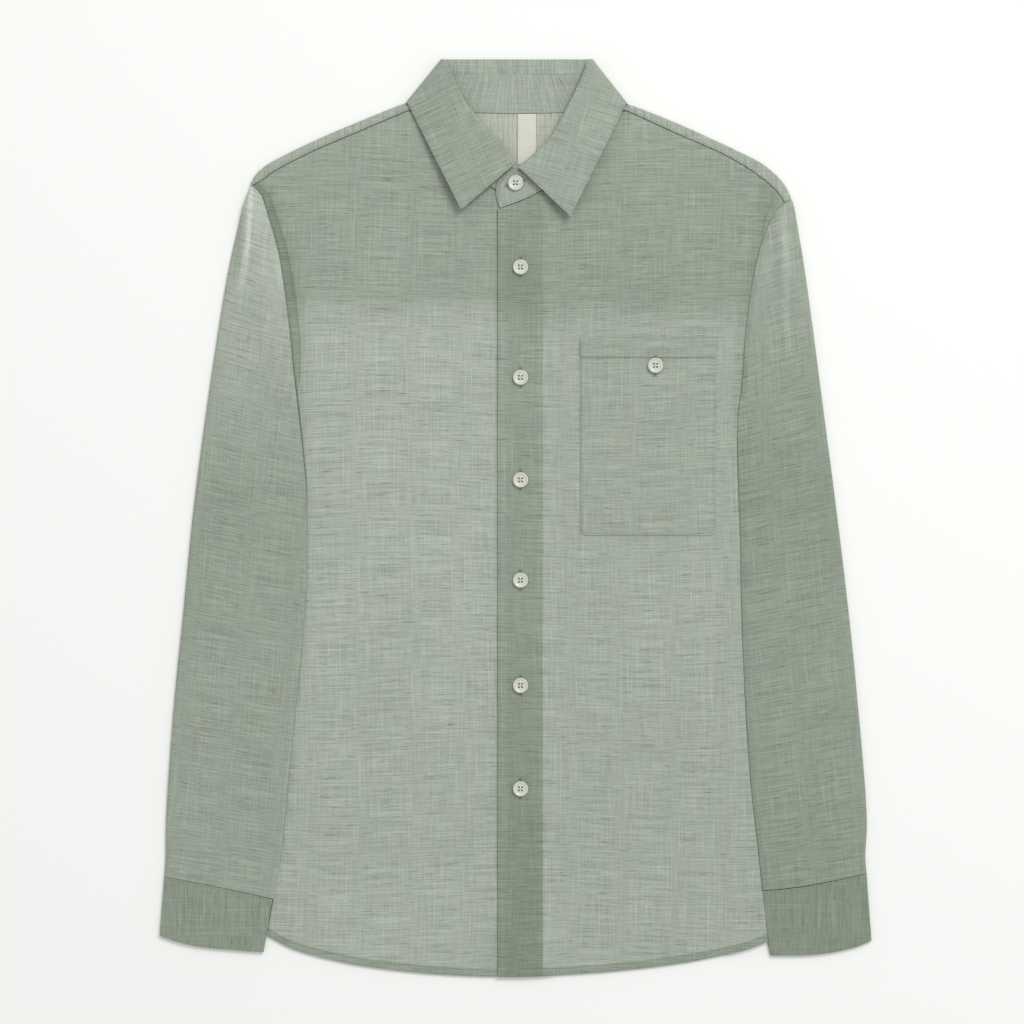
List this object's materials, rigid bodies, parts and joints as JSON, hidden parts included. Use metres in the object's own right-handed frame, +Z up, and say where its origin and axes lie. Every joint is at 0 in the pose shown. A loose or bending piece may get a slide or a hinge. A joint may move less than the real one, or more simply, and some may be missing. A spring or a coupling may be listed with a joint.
{
  "type": "long-sleeve shirt",
  "caption": "Buttoned long-sleeve shirt with a pointed collar, a chest pocket and curved hem, laid flat on its back.",
  "frame": {"origin": "on the table under the middle of the laid shirt's box", "axes": "+X towards the wearer's left, +Y from the hem to the collar, +Z up from the table"},
  "size_m": [0.6116, 0.7893, 0.0112],
  "materials": {
    "linen": "sage green slub linen, plain weave, matt",
    "lining": "pale ecru linen seen inside the neck, matt",
    "label": "bare cream woven tape",
    "button": "pale stone four-hole button with a soft sheen"
  },
  "bodies": {
    "root": {"back_panel": "linen", "yoke": "linen", "yoke_lining": "lining", "right_front": "linen", "left_front": "linen", "chest_pocket": "linen", "collar_stand": "linen", "collar_leaf": "linen", "sleeve_right": "linen", "sleeve_left": "linen", "cuff_right": "linen", "cuff_left": "linen", "neck_label": "label", "button_neck": "button", "button_pocket": "button", "button_placket_1": "button", "button_placket_2": "button", "button_placket_3": "button", "button_placket_4": "button", "button_placket_5": "button", "button_placket_6": "button"}
  },
  "joints": []
}
